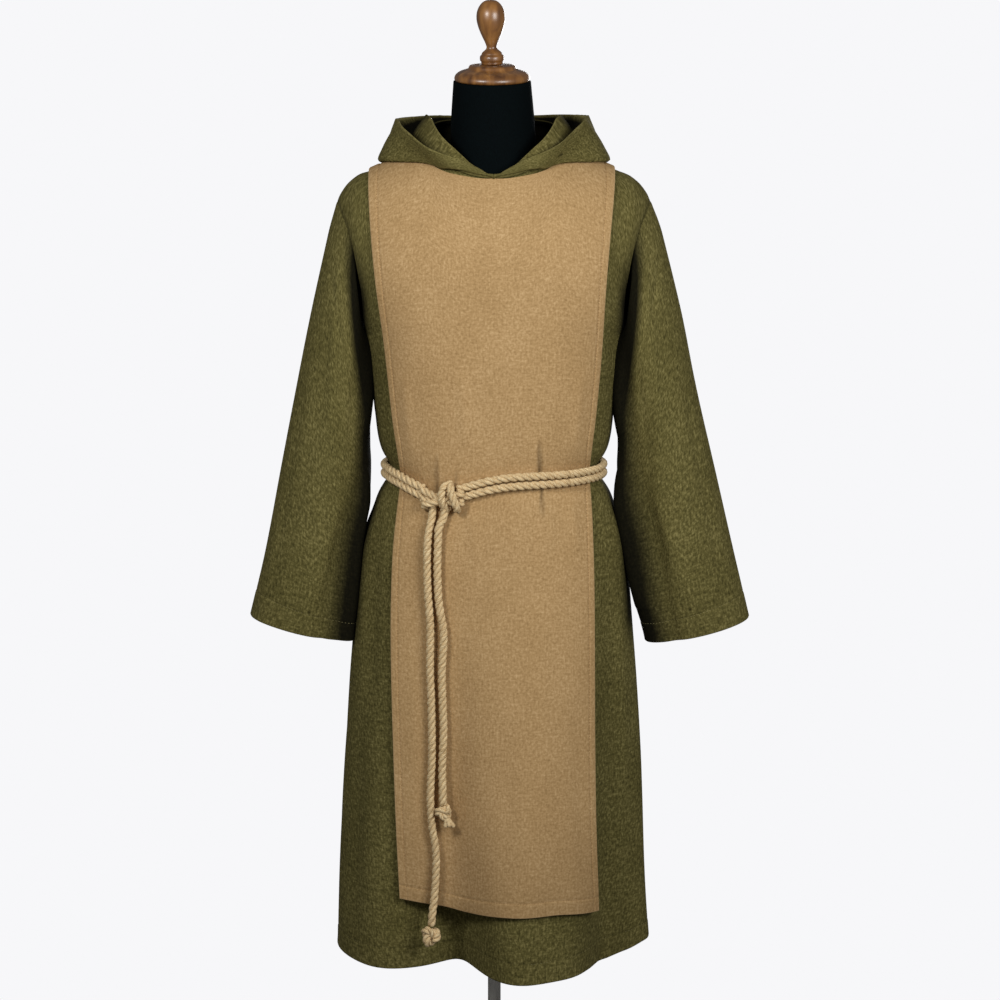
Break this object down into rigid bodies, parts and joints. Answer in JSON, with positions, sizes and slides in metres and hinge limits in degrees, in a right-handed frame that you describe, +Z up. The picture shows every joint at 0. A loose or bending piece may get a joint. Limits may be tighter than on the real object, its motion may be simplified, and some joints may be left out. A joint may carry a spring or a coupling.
{
  "type": "monk habit on dress form",
  "caption": "Wool monk's tunic with wide sleeves, a laid-down hood, a tan scapular and a knotted rope belt, worn by a limbless dress form on a pole stand.",
  "frame": {"origin": "centre of the base plate's underside, on the floor", "axes": "+Z up the stand; the front of the habit faces -Y; +X is the wearer's left"},
  "size_m": [0.761, 0.39, 1.658],
  "materials": {
    "olive_wool": "matte",
    "tan_wool": "matte",
    "rope": "matte",
    "black_jersey": "matte",
    "varnished_wood": "gloss",
    "steel": "polished",
    "black_paint": "satin"
  },
  "bodies": {
    "root": {"robe_front": "olive_wool", "robe_back": "olive_wool", "sleeve_left": "olive_wool", "sleeve_right": "olive_wool", "hood_left": "olive_wool", "hood_right": "olive_wool", "scapular_front": "tan_wool", "scapular_back": "tan_wool", "belt_upper": "rope", "belt_lower": "rope", "belt_knot": "rope", "cord_long": "rope", "cord_short": "rope", "knot_long": "rope", "knot_short": "rope", "form_torso": "black_jersey", "neck_cap": "varnished_wood", "finial": "varnished_wood", "pole": "steel", "base": "black_paint"}
  },
  "joints": []
}
